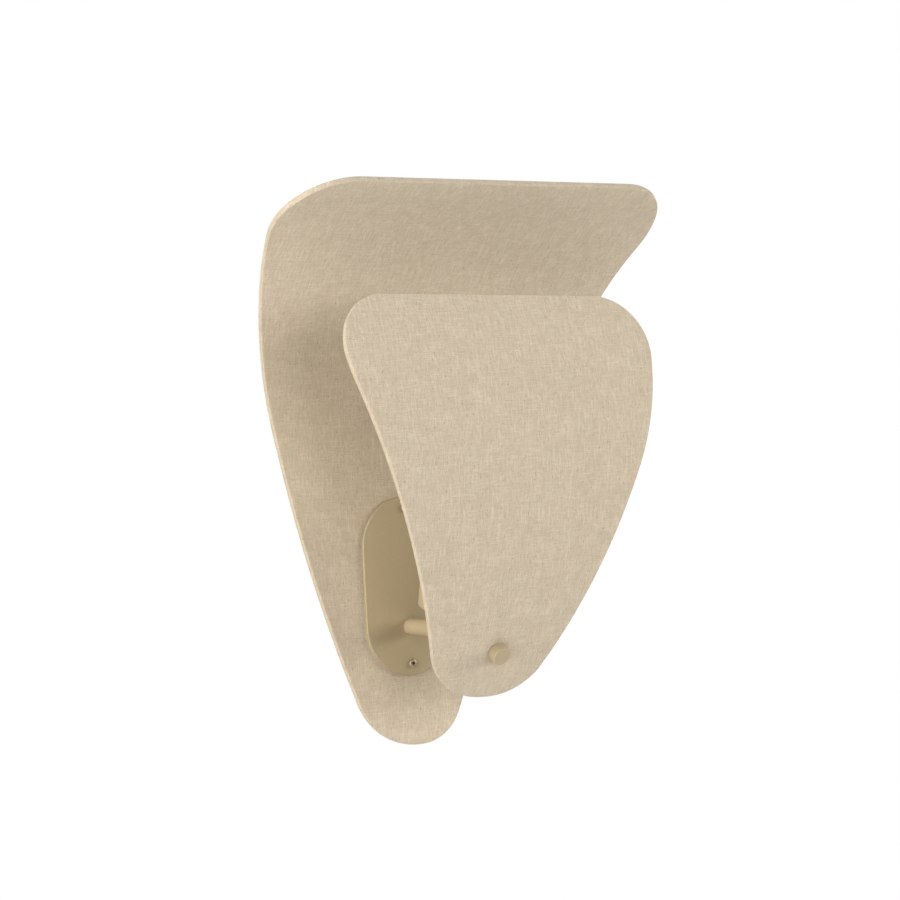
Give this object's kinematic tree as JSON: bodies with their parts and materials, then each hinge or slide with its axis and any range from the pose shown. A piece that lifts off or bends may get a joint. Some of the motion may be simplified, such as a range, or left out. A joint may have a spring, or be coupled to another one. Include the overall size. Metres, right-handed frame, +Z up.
{
  "type": "wall lamp",
  "caption": "Wall lamp with two overlapping linen-covered bent plywood shells, a stadium wall plate, a bent tube arm and a tilted lampholder.",
  "frame": {"origin": "centre of the two wall screw holes, on the wall face, level with the centre of the wall plate", "axes": "+Z up, +Y into the wall, the lamp faces -Y"},
  "size_m": [0.4545, 0.2273, 0.5523],
  "materials": {
    "linen": "plain linen weave",
    "lining": "plain back cloth",
    "plywood": "birch plywood",
    "painted_metal": "satin beige powder coat",
    "zinc_steel": "zinc plated",
    "screw_brass": "yellow passivated",
    "brass": "plain",
    "cap_metal": "rolled",
    "opal_glass": "opal",
    "insulator": "glazed",
    "nylon": "natural",
    "wire_brown": "insulation",
    "wire_blue": "insulation",
    "wire_green": "insulation"
  },
  "bodies": {
    "root": {"wall_bracket": "zinc_steel", "back_box": "painted_metal", "rear_panel_core": "plywood", "rear_panel_cloth": "linen", "rear_panel_lining": "lining", "panel_ferrules": "zinc_steel", "wall_plate": "painted_metal", "plate_screws": "screw_brass", "arm_tube": "painted_metal", "arm_bush": "brass", "arm_nipple": "zinc_steel", "arm_washer": "zinc_steel", "arm_nut": "zinc_steel", "arm_flange": "painted_metal", "panel_stud": "zinc_steel", "holder_saddle": "painted_metal", "lampholder_cup": "painted_metal", "lampholder_body": "insulator", "holder_nipple": "zinc_steel", "lampholder_contact": "brass", "lampholder_shell": "brass", "terminal_block": "nylon", "terminal_screws": "zinc_steel", "earth_tag": "brass", "earth_screw": "zinc_steel", "live_wire": "wire_brown", "neutral_wire": "wire_blue", "earth_wire": "wire_green"},
    "front_shade": {"front_panel_core": "plywood", "front_panel_cloth": "linen", "front_panel_lining": "lining", "panel_sleeve": "brass"},
    "knob_slide": {"knob_washer": "nylon"},
    "knob": {"knob": "painted_metal"},
    "bulb_slide": {"bulb_contact": "brass"},
    "bulb": {"bulb_cap": "cap_metal", "bulb_glass": "opal_glass"}
  },
  "joints": [
    {"name": "front_swivel", "type": "hinge", "parent": "root", "child": "front_shade", "pos_m": [0, -0.173, -0.0587], "axis": [0, -0.866, -0.5], "range_deg": [-20, 20]},
    {"name": "knob_travel", "type": "slide", "parent": "root", "child": "knob_slide", "axis": [0, -0.866, -0.5], "range_m": [0, 0.004]},
    {"name": "knob_turn", "type": "hinge", "parent": "knob_slide", "child": "knob", "pos_m": [0, -0.173, -0.0587], "axis": [0, -0.866, -0.5], "range_deg": [0, 1441]},
    {"name": "bulb_travel", "type": "slide", "parent": "root", "child": "bulb_slide", "axis": [0, -0.2588, 0.9659], "range_m": [0, 0.018]},
    {"name": "bulb_turn", "type": "hinge", "parent": "bulb_slide", "child": "bulb", "pos_m": [0, -0.0737, -0.0408], "axis": [0, -0.2588, 0.9659], "range_deg": [0, 1801]}
  ],
  "couplings": [
    {"joint": "knob_turn", "follows": "knob_travel", "rad_per_m": 6283.2},
    {"joint": "bulb_turn", "follows": "bulb_travel", "rad_per_m": 1745.3}
  ]
}
